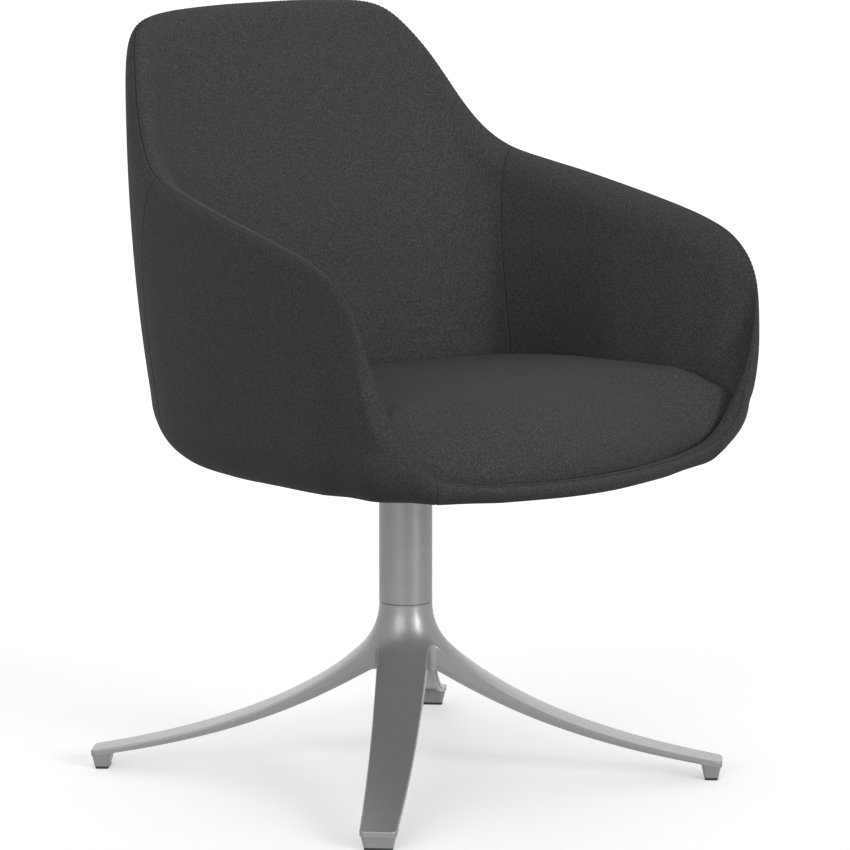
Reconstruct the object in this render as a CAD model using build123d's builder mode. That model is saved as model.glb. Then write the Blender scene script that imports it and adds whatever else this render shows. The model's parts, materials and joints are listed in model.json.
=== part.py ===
# Swivel lounge chair: upholstered tub seat on a column and a cast four-leg base
# Frame: +Z up, floor at z = 0, column axis through the origin, the sitter faces -Y

import os
from math import cos, hypot, radians, sin

from build123d import *

# Cast star base
LEG_REACH = 358.0
LEG_ROOT_WIDTH = 59.0
LEG_END_WIDTH = 40.0
LEG_END_HEIGHT = 18.5
LEG_END_CORNER = 7.0
LEG_EDGE_RADIUS = 1.5
ARCH_RADIUS = 12.0
COLLAR_HEIGHT = 198.0
COLLAR_LENGTH = 2.0
FLARE_WIDTH = 22.0
FLARE_DROP = 50.0
FLARE_RADIUS = 69.0
TOP_BEND_RADIUS = 146.0
TOP_BEND_HEIGHT = 54.5
HUB_BOTTOM = 129.0
HUB_BOTTOM_RADIUS = 38.0
LEG_END_THICKNESS = 6.0
BELLY_BEND_RADIUS = 158.5
BELLY_BEND_HEIGHT = 43.0
LEDGE_HEIGHT = 7.0
LEDGE_DEPTH = 1.6
SKIN_THICKNESS = 5.0
WALL_THICKNESS = 5.0
RIB_WIDTH = 5.0
FOOT_DEPTH = 24.0
FOOT_DRAFT = 4.0
FOOT_OVERLAP = 8.0
JOINT_CHAMFER = 0.8
LEG_TURNS = (45, 135, 225, 315)

# Glides
PAD_THICKNESS = 3.0
PAD_INSET = 0.6
PAD_CORNER = 3.0
SCREW_DIAMETER = 4.0
SCREW_HEAD_DIAMETER = 8.0
SCREW_HEAD_HEIGHT = 2.0
SCREW_LENGTH = 11.0
HEAD_RECESS = 0.8

# Column
COLUMN_DIAMETER = 60.0
COLUMN_WALL = 3.0
COLUMN_LENGTH = 152.0
PLUG_HEIGHT = 20.0
SPIGOT_DIAMETER = 40.0
SPIGOT_LENGTH = 16.0
TIE_BOLT_DIAMETER = 12.0
TIE_BOLT_HEAD = 18.0
TIE_BOLT_HEAD_HEIGHT = 12.0
TIE_WASHER_DIAMETER = 30.0
TIE_WASHER_THICKNESS = 2.5
TIE_BOLT_BITE = 24.0
TIE_BOLT_KEY = 10.0

# Swivel bearing in the column
SPINDLE_DIAMETER = 30.0
SPINDLE_HEAD_DIAMETER = 48.0
SPINDLE_TAIL = 14.0
BUSH_HEIGHT = 24.0
BUSH_SPACING = 40.0
LOWER_SPACER_HEIGHT = 27.0
SPACER_WALL = 3.0
RACE_THICKNESS = 2.5
RACE_DIAMETER = 47.0
BALL_DIAMETER = 5.0
BALL_COUNT = 14
CAGE_THICKNESS = 2.6
CAGE_RIM = 1.6
CLIP_THICKNESS = 2.0
CLIP_WALL = 4.0
CLIP_OPENING = 60.0
GROOVE_DEPTH = 1.0
CLIP_WASHER_THICKNESS = 2.0
CLIP_WASHER_DIAMETER = 42.0

# Seat mounting
PLATE_SIZE = 150.0
PLATE_CORNER = 22.0
PLATE_THICKNESS = 5.0
BOLT_PITCH = 84.0
BOLT_DIAMETER = 8.0
BOLT_HEAD_DIAMETER = 14.0
BOLT_HEAD_HEIGHT = 4.5
BOLT_KEY = 5.0
BOLT_WASHER_DIAMETER = 18.0
BOLT_WASHER_THICKNESS = 1.6
TEE_BARREL_DIAMETER = 10.0
TEE_BARREL_LENGTH = 12.0
TEE_FLANGE_DIAMETER = 19.0
TEE_FLANGE_THICKNESS = 1.5
BOARD_RADIUS = 85.0

# Upholstered tub
TUB_HALF_WIDTH = 296.0
TUB_BACK_REACH = 272.0
TUB_FRONT_REACH = 325.0
TUB_AXIS_Y = -20.0
BACK_HEIGHT = 857.0
SEAT_GAP = 8.0
LIP_RISE = 26.0
FRONT_RISE = 14.0
UNDER_LAYER = 6.0
WALL_BULGE = 6.0
PAD_CROWN = 7.0
RIM_ROLL = 10.0
TOE_HEIGHT = 45.0
TOE_SLOPE = 0.6
RING_RADIUS = 86.0

# Inner shell of the tub
SHELL_THICKNESS = 8.0
SHELL_COVER = 10.0
SHELL_TOP_COVER = 45.0

# Seat cushion
CUSHION_SIDE_INSET = 67.0
CUSHION_NOSE_INSET = 102.0
CUSHION_NOSE_BACK = 43.0
CUSHION_FRONT_BACK = 9.0
CUSHION_REAR_INSET = 177.0
CUSHION_REAR_CORNER = 62.0
CUSHION_SHOULDER_BACK = 102.0
CUSHION_HEIGHT = 81.0
CUSHION_LIFT = 3.0
CUSHION_KNEE = 4.0
CUSHION_TILT = 1.6
CORE_SIDE_INSET = 61.0
CORE_FRONT_INSET = 83.0
CORE_REAR_INSET = 23.0

# Clearances
RUN_CLEARANCE = 0.05
FIT_CLEARANCE = 0.03
THREAD_CLEARANCE = 0.05
HOLE_CLEARANCE = 0.5
AXIAL_CLEARANCE = 0.3
SOFT_CLEARANCE = 0.5
MOUNT_GAP = 0.3

# Tub stations from the back centre round to the front centre:
# side, depth and height of the rim as shares of the tub sizes, draw-in of the wall above the
# floor rounding, floor rounding, rim thickness, pad depth at the floor, share of the front rise
STATIONS = {
    "back": (0.000, 1.000, 1.000, 20, 74, 38, 140, 0.0),
    "back_side": (0.349, 0.987, 0.995, 20, 74, 40, 144, 0.0),
    "back_turn": (0.540, 0.968, 0.981, 22, 72, 42, 153, 0.0),
    "back_corner": (0.683, 0.904, 0.930, 25, 70, 44, 148, 0.0),
    "wing": (0.781, 0.754, 0.814, 25, 70, 46, 120, 0.0),
    "wing_foot": (0.859, 0.574, 0.681, 21, 70, 44, 84, 0.0),
    "arm_seam": (0.901, 0.429, 0.633, 17, 70, 42, 50, 0.0),
    "arm_rear": (0.945, 0.167, 0.604, 13, 68, 42, 36, 0.0),
    "arm": (0.988, -0.212, 0.560, 11, 66, 44, 50, 0.07),
    "arm_front": (0.998, -0.544, 0.514, 12, 62, 48, 58, 0.35),
    "nose": (0.996, -0.733, 0.457, 20, 54, 46, 42, 0.70),
    "nose_mid": (0.978, -0.822, 0.368, 22, 40, 40, 22, 0.90),
    "nose_low": (0.922, -0.879, 0.203, 20, 32, 34, 20, 1.00),
    "nose_foot": (0.842, -0.912, 0.096, 18, 24, 34, 24, 1.00),
    "lip_seam": (0.706, -0.920, 0.032, 8, 14, 32, 22, 0.80),
    "lip_side": (0.395, -0.948, 0.002, 0, 10, 27, 28, 0.45),
    "lip": (0.000, -1.000, 0.000, 0, 10, 26, 28, 0.35),
}

# Heights and radii that follow from the sizes above
COLUMN_BORE = COLUMN_DIAMETER / 2 - COLUMN_WALL
COLUMN_TOP = COLLAR_HEIGHT + COLUMN_LENGTH
TUB_BOTTOM = COLUMN_TOP + SEAT_GAP
LIP_HEIGHT = TUB_BOTTOM + LIP_RISE
PLUG_TOP = COLLAR_HEIGHT + PLUG_HEIGHT
LOWER_BUSH_BOTTOM = PLUG_TOP + LOWER_SPACER_HEIGHT
LOWER_BUSH_TOP = LOWER_BUSH_BOTTOM + BUSH_HEIGHT
UPPER_BUSH_BOTTOM = LOWER_BUSH_TOP + BUSH_SPACING
UPPER_BUSH_TOP = UPPER_BUSH_BOTTOM + BUSH_HEIGHT
LOWER_RACE_TOP = UPPER_BUSH_TOP + RACE_THICKNESS
UPPER_RACE_BOTTOM = LOWER_RACE_TOP + BALL_DIAMETER + 2 * RUN_CLEARANCE
UPPER_RACE_TOP = UPPER_RACE_BOTTOM + RACE_THICKNESS
PLATE_TOP = TUB_BOTTOM - MOUNT_GAP
PLATE_BOTTOM = PLATE_TOP - PLATE_THICKNESS
SHELL_FLOOR_BOTTOM = TUB_BOTTOM + UNDER_LAYER + 2
SHELL_FLOOR_TOP = SHELL_FLOOR_BOTTOM + SHELL_THICKNESS
CLIP_WASHER_TOP = LOWER_BUSH_BOTTOM - AXIAL_CLEARANCE
CLIP_TOP = CLIP_WASHER_TOP - CLIP_WASHER_THICKNESS
CLIP_BOTTOM = CLIP_TOP - CLIP_THICKNESS
SPINDLE_BOTTOM = LOWER_BUSH_BOTTOM - SPINDLE_TAIL
BALL_RING_RADIUS = (SPINDLE_DIAMETER + RACE_DIAMETER) / 4
RACE_BORE = SPINDLE_DIAMETER / 2 + AXIAL_CLEARANCE
BOLT_SPOTS = [(sx * BOLT_PITCH / 2, sy * BOLT_PITCH / 2) for sx in (-1, 1) for sy in (-1, 1)]
CUSHION_SIDE = TUB_HALF_WIDTH - CUSHION_SIDE_INSET
CUSHION_NOSE_SIDE = TUB_HALF_WIDTH - CUSHION_NOSE_INSET
CUSHION_NOSE_Y = CUSHION_NOSE_BACK - TUB_FRONT_REACH
CUSHION_FRONT_Y = CUSHION_FRONT_BACK - TUB_FRONT_REACH
CUSHION_REAR_Y = TUB_BACK_REACH - CUSHION_REAR_INSET
CUSHION_SIDE_FRONT_Y = CUSHION_SHOULDER_BACK - TUB_FRONT_REACH
CUSHION_CORE_HALF = CUSHION_SIDE - CORE_SIDE_INSET
CUSHION_CORE_FRONT_Y = CUSHION_FRONT_Y + CORE_FRONT_INSET
CUSHION_CORE_REAR_Y = CUSHION_REAR_Y - CORE_REAR_INSET
FOOT_CENTRE = LEG_REACH - FOOT_DEPTH / 2
FOOT_BOTTOM_DEPTH = FOOT_DEPTH - 2 * FOOT_DRAFT
FOOT_BOTTOM_WIDTH = LEG_END_WIDTH - 2 * FOOT_DRAFT
LEG_END_BOTTOM = LEG_END_HEIGHT - LEG_END_THICKNESS


def leg_point(rho, side, turn):
    """Plan point at a distance along a leg and a distance to its side."""
    along = radians(turn)
    return (rho * cos(along) - side * sin(along), rho * sin(along) + side * cos(along))


def trumpet(drop):
    """Section of everything under the top face of the legs, lowered by drop."""
    shoulder = COLUMN_DIAMETER / 2
    flare = (shoulder + FLARE_WIDTH, COLLAR_HEIGHT - COLLAR_LENGTH - FLARE_DROP - drop)
    bend = (TOP_BEND_RADIUS, TOP_BEND_HEIGHT - drop)
    end = (LEG_REACH + 20, LEG_END_HEIGHT - drop)
    with BuildSketch(Plane.XZ) as section:
        with BuildLine():
            Line((0, -50), (0, COLLAR_HEIGHT - drop))
            Line((0, COLLAR_HEIGHT - drop), (shoulder, COLLAR_HEIGHT - drop))
            Line((shoulder, COLLAR_HEIGHT - drop), (shoulder, COLLAR_HEIGHT - COLLAR_LENGTH - drop))
            RadiusArc((shoulder, COLLAR_HEIGHT - COLLAR_LENGTH - drop), flare, -FLARE_RADIUS)
            Bezier(flare, bend, end)
            Line(end, (end[0], -50))
            Line((end[0], -50), (0, -50))
        make_face()
    return section.sketch


def belly(lift):
    """Section of the space under the legs, raised by lift at the hub and less at the leg ends."""
    inner = (HUB_BOTTOM_RADIUS, HUB_BOTTOM + lift)
    bend = (BELLY_BEND_RADIUS, BELLY_BEND_HEIGHT + lift * 0.6)
    end = (LEG_REACH + 20, LEG_END_BOTTOM + lift / 4)
    with BuildSketch(Plane.XZ) as section:
        with BuildLine():
            Line((0, -60), (0, HUB_BOTTOM + lift))
            Line((0, HUB_BOTTOM + lift), inner)
            Bezier(inner, bend, end)
            Line(end, (end[0], -60))
            Line((end[0], -60), (0, -60))
        make_face()
    return section.sketch


def star_plan(inset, reach):
    """Plan of the four legs with rounded arches between them."""
    root = LEG_ROOT_WIDTH / 2 - inset
    tip = LEG_END_WIDTH / 2 - inset
    with BuildSketch(Plane.XY) as plan:
        for turn in LEG_TURNS:
            with BuildLine():
                Polyline(
                    leg_point(0, root, turn),
                    leg_point(reach, tip, turn),
                    leg_point(reach, -tip, turn),
                    leg_point(0, -root, turn),
                    close=True,
                )
            make_face()
        fillet(plan.vertices().sort_by(SortBy.DISTANCE)[:4], ARCH_RADIUS + inset)
        fillet(plan.vertices().sort_by(SortBy.DISTANCE)[-8:], LEG_END_CORNER - inset)
    return plan.sketch


# Star base, cast in one piece with ledges along its sides and ribs in its hollow legs
with BuildPart() as leg_hollow:
    add(trumpet(SKIN_THICKNESS))
    revolve(axis=Axis.Z)
    extrude(star_plan(WALL_THICKNESS, LEG_REACH - FOOT_DEPTH - WALL_THICKNESS), COLLAR_HEIGHT,
            mode=Mode.INTERSECT)
    Cylinder(HUB_BOTTOM_RADIUS, COLLAR_HEIGHT, align=(Align.CENTER, Align.CENTER, Align.MIN),
             mode=Mode.SUBTRACT)
    for turn in LEG_TURNS:
        with Locations(Location(Plane.XY.rotated((0, 0, turn)))):
            Box(LEG_REACH, RIB_WIDTH, COLLAR_HEIGHT, align=(Align.MIN, Align.CENTER, Align.MIN),
                mode=Mode.SUBTRACT)

with BuildPart() as side_ledge:
    add(belly(LEDGE_HEIGHT))
    revolve(axis=Axis.Z)
    extrude(star_plan(-2, LEG_REACH + 4), COLLAR_HEIGHT, mode=Mode.INTERSECT)
    extrude(star_plan(LEDGE_DEPTH, LEG_REACH + 4), COLLAR_HEIGHT, mode=Mode.SUBTRACT)
    Cylinder(LEG_REACH - FOOT_DEPTH, COLLAR_HEIGHT, align=(Align.CENTER, Align.CENTER, Align.MIN),
             mode=Mode.INTERSECT)

with BuildPart() as belly_space:
    add(belly(0))
    revolve(axis=Axis.Z)

with BuildPart() as star_base:
    add(trumpet(0))
    revolve(axis=Axis.Z)
    extrude(star_plan(0, LEG_REACH), COLLAR_HEIGHT + 1, mode=Mode.INTERSECT)
    fillet(star_base.edges().filter_by(GeomType.BSPLINE), LEG_EDGE_RADIUS)
    chamfer(star_base.edges().group_by(Axis.Z)[-1], JOINT_CHAMFER)
    add(belly_space.part, mode=Mode.SUBTRACT)
    add(side_ledge.part, mode=Mode.SUBTRACT)
    add(leg_hollow.part, mode=Mode.SUBTRACT)
    for turn in LEG_TURNS:
        foot_place = Plane.XY.rotated((0, 0, turn))
        with BuildSketch(foot_place.offset(PAD_THICKNESS)):
            with Locations((FOOT_CENTRE, 0)):
                RectangleRounded(FOOT_BOTTOM_DEPTH, FOOT_BOTTOM_WIDTH, PAD_CORNER)
        with BuildSketch(foot_place.offset(LEG_END_BOTTOM + FOOT_OVERLAP)):
            with Locations((FOOT_CENTRE, 0)):
                RectangleRounded(FOOT_DEPTH, LEG_END_WIDTH, LEG_END_CORNER)
        loft()
    with Locations((0, 0, COLLAR_HEIGHT - SPIGOT_LENGTH - MOUNT_GAP)):
        Cylinder(SPIGOT_DIAMETER / 2 + FIT_CLEARANCE, COLLAR_HEIGHT,
                 align=(Align.CENTER, Align.CENTER, Align.MIN), mode=Mode.SUBTRACT)
    Cylinder(TIE_BOLT_DIAMETER / 2 + HOLE_CLEARANCE, COLLAR_HEIGHT,
             align=(Align.CENTER, Align.CENTER, Align.MIN), mode=Mode.SUBTRACT)
    for turn in LEG_TURNS:
        with Locations((*leg_point(FOOT_CENTRE, 0, turn), PAD_THICKNESS)):
            Cylinder(SCREW_DIAMETER / 2 + THREAD_CLEARANCE, SCREW_LENGTH - PAD_THICKNESS + 1,
                     align=(Align.CENTER, Align.CENTER, Align.MIN), mode=Mode.SUBTRACT)

# Glide pads with a countersunk screw each
os.makedirs("parts", exist_ok=True)
for number, turn in enumerate(LEG_TURNS, start=1):
    pad_place = Plane.XY.rotated((0, 0, turn))
    with BuildPart() as glide_pad:
        with BuildSketch(pad_place):
            with Locations((FOOT_CENTRE, 0)):
                RectangleRounded(FOOT_BOTTOM_DEPTH - 2 * PAD_INSET, FOOT_BOTTOM_WIDTH - 2 * PAD_INSET,
                                 PAD_CORNER)
        extrude(amount=PAD_THICKNESS)
        with Locations((*leg_point(FOOT_CENTRE, 0, turn), 0)):
            Cylinder(SCREW_DIAMETER / 2 + HOLE_CLEARANCE, PAD_THICKNESS,
                     align=(Align.CENTER, Align.CENTER, Align.MIN), mode=Mode.SUBTRACT)
            Cylinder(SCREW_HEAD_DIAMETER / 2 + HOLE_CLEARANCE, HEAD_RECESS + SCREW_HEAD_HEIGHT / 2,
                     align=(Align.CENTER, Align.CENTER, Align.MIN), mode=Mode.SUBTRACT)
    glide_pad.part.label = f"glide_pad_{number}"
    export_step(glide_pad.part, f"parts/glide_pad_{number}.step")

with BuildPart() as glide_screws:
    for turn in LEG_TURNS:
        with Locations((*leg_point(FOOT_CENTRE, 0, turn), HEAD_RECESS)):
            Cylinder(SCREW_HEAD_DIAMETER / 2, SCREW_HEAD_HEIGHT / 2,
                     align=(Align.CENTER, Align.CENTER, Align.MIN))
            Cylinder(SCREW_DIAMETER / 2, SCREW_LENGTH - HEAD_RECESS,
                     align=(Align.CENTER, Align.CENTER, Align.MIN))

# Column tube, its plug and the bolt that ties it to the hub
with BuildPart() as column_tube:
    with BuildSketch(Plane.XY.offset(COLLAR_HEIGHT)):
        Circle(COLUMN_DIAMETER / 2)
        Circle(COLUMN_BORE, mode=Mode.SUBTRACT)
    extrude(amount=COLUMN_TOP - COLLAR_HEIGHT)
    chamfer(column_tube.edges().group_by(Axis.Z)[0].sort_by(SortBy.LENGTH)[-1:], JOINT_CHAMFER)

with BuildPart() as column_plug:
    with BuildSketch(Plane.XY.offset(COLLAR_HEIGHT - SPIGOT_LENGTH)):
        Circle(SPIGOT_DIAMETER / 2)
    extrude(amount=SPIGOT_LENGTH)
    with BuildSketch(Plane.XY.offset(COLLAR_HEIGHT)):
        Circle(COLUMN_BORE - FIT_CLEARANCE)
    extrude(amount=PLUG_HEIGHT)
    with BuildSketch(Plane.XY.offset(COLLAR_HEIGHT - SPIGOT_LENGTH)):
        Circle(TIE_BOLT_DIAMETER / 2 + THREAD_CLEARANCE)
    extrude(amount=SPIGOT_LENGTH + PLUG_HEIGHT, mode=Mode.SUBTRACT)

with BuildPart() as column_washer:
    with BuildSketch(Plane.XY.offset(HUB_BOTTOM - TIE_WASHER_THICKNESS)):
        Circle(TIE_WASHER_DIAMETER / 2)
        Circle(TIE_BOLT_DIAMETER / 2 + HOLE_CLEARANCE, mode=Mode.SUBTRACT)
    extrude(amount=TIE_WASHER_THICKNESS)

with BuildPart() as column_bolt:
    with BuildSketch(Plane.XY.offset(HUB_BOTTOM - TIE_WASHER_THICKNESS - TIE_BOLT_HEAD_HEIGHT)):
        Circle(TIE_BOLT_HEAD / 2)
        RegularPolygon(TIE_BOLT_KEY / 2, 6, major_radius=False, mode=Mode.SUBTRACT)
    extrude(amount=TIE_BOLT_HEAD_HEIGHT)
    with BuildSketch(Plane.XY.offset(HUB_BOTTOM - TIE_WASHER_THICKNESS - TIE_BOLT_HEAD_HEIGHT / 2)):
        Circle(TIE_BOLT_DIAMETER / 2)
    extrude(amount=COLLAR_HEIGHT - SPIGOT_LENGTH + TIE_BOLT_BITE - HUB_BOTTOM
            + TIE_WASHER_THICKNESS + TIE_BOLT_HEAD_HEIGHT / 2)


def bearing_ring(bottom, top, bore, rim):
    """Plain ring about the column axis."""
    with BuildPart() as ring:
        with BuildSketch(Plane.XY.offset(bottom)):
            Circle(rim)
            Circle(bore, mode=Mode.SUBTRACT)
        extrude(amount=top - bottom)
    return ring.part


# Bushes, spacers and races
BUSH_RIM = COLUMN_BORE - FIT_CLEARANCE
BUSH_BORE = SPINDLE_DIAMETER / 2 + RUN_CLEARANCE
lower_spacer = bearing_ring(PLUG_TOP, LOWER_BUSH_BOTTOM, BUSH_RIM - SPACER_WALL, BUSH_RIM)
lower_bush = bearing_ring(LOWER_BUSH_BOTTOM, LOWER_BUSH_TOP, BUSH_BORE, BUSH_RIM)
upper_spacer = bearing_ring(LOWER_BUSH_TOP, UPPER_BUSH_BOTTOM, BUSH_RIM - SPACER_WALL, BUSH_RIM)
upper_bush = bearing_ring(UPPER_BUSH_BOTTOM, UPPER_BUSH_TOP, BUSH_BORE, BUSH_RIM)
bearing_lower_race = bearing_ring(UPPER_BUSH_TOP, LOWER_RACE_TOP, RACE_BORE, RACE_DIAMETER / 2)
bearing_upper_race = bearing_ring(UPPER_RACE_BOTTOM, UPPER_RACE_TOP, RACE_BORE, RACE_DIAMETER / 2)
retaining_washer = bearing_ring(CLIP_TOP, CLIP_WASHER_TOP, SPINDLE_DIAMETER / 2 + RUN_CLEARANCE,
                                CLIP_WASHER_DIAMETER / 2)

# Balls and their cage
BALL_CENTRE = (LOWER_RACE_TOP + UPPER_RACE_BOTTOM) / 2
with BuildPart() as bearing_balls:
    with Locations((0, 0, BALL_CENTRE)):
        with PolarLocations(BALL_RING_RADIUS, BALL_COUNT):
            Sphere(BALL_DIAMETER / 2)

with BuildPart() as ball_cage:
    with BuildSketch(Plane.XY.offset(BALL_CENTRE - CAGE_THICKNESS / 2)):
        Circle(BALL_RING_RADIUS + BALL_DIAMETER / 2 + CAGE_RIM)
        Circle(BALL_RING_RADIUS - BALL_DIAMETER / 2 - CAGE_RIM / 2, mode=Mode.SUBTRACT)
        with PolarLocations(BALL_RING_RADIUS, BALL_COUNT):
            Circle(BALL_DIAMETER / 2 + RUN_CLEARANCE, mode=Mode.SUBTRACT)
    extrude(amount=CAGE_THICKNESS)

# Spindle with a welded head and a groove for its retaining ring
with BuildPart() as spindle:
    with BuildSketch(Plane.XY.offset(SPINDLE_BOTTOM)):
        Circle(SPINDLE_DIAMETER / 2)
    extrude(amount=UPPER_RACE_TOP - SPINDLE_BOTTOM)
    with BuildSketch(Plane.XY.offset(UPPER_RACE_TOP)):
        Circle(SPINDLE_HEAD_DIAMETER / 2)
    extrude(amount=PLATE_BOTTOM - UPPER_RACE_TOP)
    with BuildSketch(Plane.XY.offset(CLIP_BOTTOM)):
        Circle(SPINDLE_DIAMETER / 2)
        Circle(SPINDLE_DIAMETER / 2 - GROOVE_DEPTH, mode=Mode.SUBTRACT)
    extrude(amount=CLIP_THICKNESS, mode=Mode.SUBTRACT)

with BuildPart() as retaining_ring:
    with BuildSketch(Plane.XY.offset(CLIP_BOTTOM)):
        Circle(SPINDLE_DIAMETER / 2 - GROOVE_DEPTH + CLIP_WALL)
        Circle(SPINDLE_DIAMETER / 2 - GROOVE_DEPTH + FIT_CLEARANCE, mode=Mode.SUBTRACT)
        with BuildLine():
            Polyline(
                (0, 0),
                (SPINDLE_DIAMETER * cos(radians(CLIP_OPENING / 2)),
                 SPINDLE_DIAMETER * sin(radians(CLIP_OPENING / 2))),
                (SPINDLE_DIAMETER * cos(radians(CLIP_OPENING / 2)),
                 -SPINDLE_DIAMETER * sin(radians(CLIP_OPENING / 2))),
                close=True,
            )
        make_face(mode=Mode.SUBTRACT)
    extrude(amount=CLIP_THICKNESS)

# Mounting plate, its bolts, washers and tee nuts, and the board between plate and shell
with BuildPart() as mounting_plate:
    with BuildSketch(Plane.XY.offset(PLATE_BOTTOM)):
        RectangleRounded(PLATE_SIZE, PLATE_SIZE, PLATE_CORNER)
        with Locations(*BOLT_SPOTS):
            Circle(BOLT_DIAMETER / 2 + HOLE_CLEARANCE, mode=Mode.SUBTRACT)
    extrude(amount=PLATE_THICKNESS)

with BuildPart() as plate_washers:
    with BuildSketch(Plane.XY.offset(PLATE_BOTTOM - BOLT_WASHER_THICKNESS)):
        with Locations(*BOLT_SPOTS):
            Circle(BOLT_WASHER_DIAMETER / 2)
            Circle(BOLT_DIAMETER / 2 + HOLE_CLEARANCE, mode=Mode.SUBTRACT)
    extrude(amount=BOLT_WASHER_THICKNESS)

BOLT_SEAT = PLATE_BOTTOM - BOLT_WASHER_THICKNESS
with BuildPart() as plate_bolts:
    with BuildSketch(Plane.XY.offset(BOLT_SEAT - BOLT_HEAD_HEIGHT)):
        with Locations(*BOLT_SPOTS):
            Circle(BOLT_HEAD_DIAMETER / 2)
            RegularPolygon(BOLT_KEY / 2, 6, major_radius=False, mode=Mode.SUBTRACT)
    extrude(amount=BOLT_HEAD_HEIGHT)
    with BuildSketch(Plane.XY.offset(BOLT_SEAT - BOLT_HEAD_HEIGHT / 2)):
        with Locations(*BOLT_SPOTS):
            Circle(BOLT_DIAMETER / 2)
    extrude(amount=SHELL_FLOOR_TOP - TEE_FLANGE_THICKNESS - 1 - BOLT_SEAT + BOLT_HEAD_HEIGHT / 2)

TEE_TOP = SHELL_FLOOR_TOP - MOUNT_GAP
with BuildPart() as tee_nuts:
    with BuildSketch(Plane.XY.offset(TEE_TOP - TEE_BARREL_LENGTH)):
        with Locations(*BOLT_SPOTS):
            Circle(TEE_BARREL_DIAMETER / 2)
    extrude(amount=TEE_BARREL_LENGTH)
    with BuildSketch(Plane.XY.offset(TEE_TOP - TEE_FLANGE_THICKNESS)):
        with Locations(*BOLT_SPOTS):
            Circle(TEE_FLANGE_DIAMETER / 2)
    extrude(amount=TEE_FLANGE_THICKNESS)
    with BuildSketch(Plane.XY.offset(TEE_TOP - TEE_BARREL_LENGTH)):
        with Locations(*BOLT_SPOTS):
            Circle(BOLT_DIAMETER / 2 + THREAD_CLEARANCE)
    extrude(amount=TEE_BARREL_LENGTH, mode=Mode.SUBTRACT)

with BuildPart() as mounting_board:
    with BuildSketch(Plane.XY.offset(PLATE_TOP)):
        with Locations((0, TUB_AXIS_Y)):
            Circle(BOARD_RADIUS)
        with Locations(*BOLT_SPOTS):
            Circle(TEE_BARREL_DIAMETER / 2 + HOLE_CLEARANCE, mode=Mode.SUBTRACT)
    extrude(amount=SHELL_FLOOR_BOTTOM - PLATE_TOP)


def tub_plane(name, hand):
    """Upright plane from the tub axis through a station, its x pointing outwards."""
    side, depth = STATIONS[name][:2]
    x = hand * side * TUB_HALF_WIDTH
    y = depth * (TUB_BACK_REACH if depth > 0 else TUB_FRONT_REACH) - TUB_AXIS_Y
    reach = hypot(x, y)
    return Plane(origin=(0, TUB_AXIS_Y, 0), x_dir=(x / reach, y / reach, 0),
                 z_dir=(y / reach, -x / reach, 0)), reach


def between(first, last, bulge):
    """Point half way between two points, moved to the left of the way by bulge."""
    run, rise = last[0] - first[0], last[1] - first[1]
    span = hypot(run, rise)
    return ((first[0] + last[0]) / 2 - bulge * rise / span, (first[1] + last[1]) / 2 + bulge * run / span)


def pad_section(name, hand):
    """Upholstered wall: underside, rounded foot, outer wall, rolled rim, inner wall, floor."""
    plane, reach = tub_plane(name, hand)
    height, draw_in, foot, rim, depth, rise = STATIONS[name][2:]
    top = LIP_HEIGHT + height * (BACK_HEIGHT - LIP_HEIGHT)
    under = TUB_BOTTOM + rise * FRONT_RISE
    waist = reach - draw_in
    slope = (under - TUB_BOTTOM) / (waist - foot - RING_RADIUS)
    layer = TUB_BOTTOM + UNDER_LAYER
    floor = layer + slope * (waist - depth - RING_RADIUS)
    roll = min(RIM_ROLL, 0.4 * (top - under))
    inner_roll = rim - roll
    wall_low = (waist, under + foot)
    wall_high = (reach, top - roll)
    crest = (reach - roll, top)
    inner_high = (reach - rim, top - min(inner_roll, 0.6 * (top - floor)))
    toe = min(TOE_HEIGHT, (inner_high[1] - floor) / 2)
    inner_low = (waist - depth, floor + toe)
    inner_foot = (inner_low[0] - toe * TOE_SLOPE, floor - slope * toe * TOE_SLOPE)
    share = height ** 0.5
    turn = cos(radians(45))
    with BuildSketch(plane) as section:
        with BuildLine():
            Line((RING_RADIUS, TUB_BOTTOM), (waist - foot, under))
            ThreePointArc((waist - foot, under),
                          (waist - foot * (1 - turn), under + foot * (1 - turn)), wall_low)
            ThreePointArc(wall_low, between(wall_low, wall_high, -WALL_BULGE * share - 0.2), wall_high)
            ThreePointArc(wall_high, (reach - roll * (1 - turn), top - roll * (1 - turn)), crest)
            ThreePointArc(crest, (crest[0] - inner_roll * turn, top - (top - inner_high[1]) * (1 - turn)),
                          inner_high)
            ThreePointArc(inner_high, between(inner_high, inner_low, -PAD_CROWN * share - 0.2), inner_low)
            Line(inner_low, inner_foot)
            Line(inner_foot, (RING_RADIUS, layer))
            Line((RING_RADIUS, layer), (RING_RADIUS, TUB_BOTTOM))
        make_face()
    return section.sketch


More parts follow.
